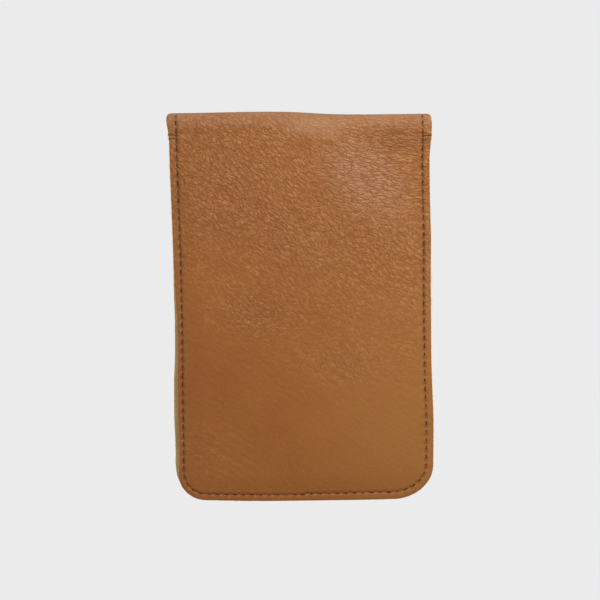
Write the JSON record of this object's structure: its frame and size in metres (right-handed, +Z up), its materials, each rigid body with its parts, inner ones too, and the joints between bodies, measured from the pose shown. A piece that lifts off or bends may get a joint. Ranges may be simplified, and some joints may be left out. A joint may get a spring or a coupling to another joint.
{
  "type": "leather camera sleeve",
  "caption": "Flat upright pouch of pebbled tan leather with rounded bottom corners, a stitched edge, and a flap that folds over the top and closes on the front with a press stud.",
  "frame": {"origin": "centre of the bottom edge, midway between the back and the press stud's cap", "axes": "+Z up from the bottom edge to the top fold, +X across the width, -Y out of the plain back panel, +Y out of the flap side"},
  "size_m": [0.1404, 0.0248, 0.204],
  "materials": {
    "leather": "pebbled, soft sheen, raw cut edges",
    "lining": "brushed split suede, matte",
    "felt": "pressed wool felt, matte",
    "thread": "waxed twisted sewing thread",
    "snap_metal": "antique brass plate, brushed by wear"
  },
  "bodies": {
    "case": {"back_panel": "leather", "back_padding": "felt", "back_lining": "lining", "front_panel": "leather", "front_padding": "felt", "front_lining": "lining", "back_seam_thread": "thread", "front_seam_thread": "thread", "back_bobbin_left": "thread", "back_bobbin_right": "thread", "back_tack_left": "thread", "back_tack_right": "thread", "mouth_thread": "thread", "mouth_bobbin": "thread", "snap_stud": "snap_metal", "snap_post": "snap_metal"},
    "fold": {"fold_strip": "leather", "fold_lining": "lining", "fold_thread_left": "thread", "fold_thread_right": "thread", "fold_bobbin_left": "thread", "fold_bobbin_right": "thread"},
    "flap": {"flap_panel": "leather", "flap_lining": "lining", "flap_seam_thread": "thread", "flap_bobbin_thread": "thread", "snap_cap": "snap_metal", "snap_socket": "snap_metal", "snap_spring": "snap_metal"}
  },
  "joints": [
    {"name": "fold_bend", "type": "hinge", "parent": "case", "child": "fold", "pos_m": [0, -0.00893, 0.20053], "axis": [1, 0, 0], "range_deg": [0, 105]},
    {"name": "flap_bend", "type": "hinge", "parent": "fold", "child": "flap", "pos_m": [0, 0.00302, 0.20053], "axis": [1, 0, 0], "range_deg": [0, 105]}
  ],
  "couplings": [
    {"joint": "flap_bend", "follows": "fold_bend", "ratio": 1}
  ]
}
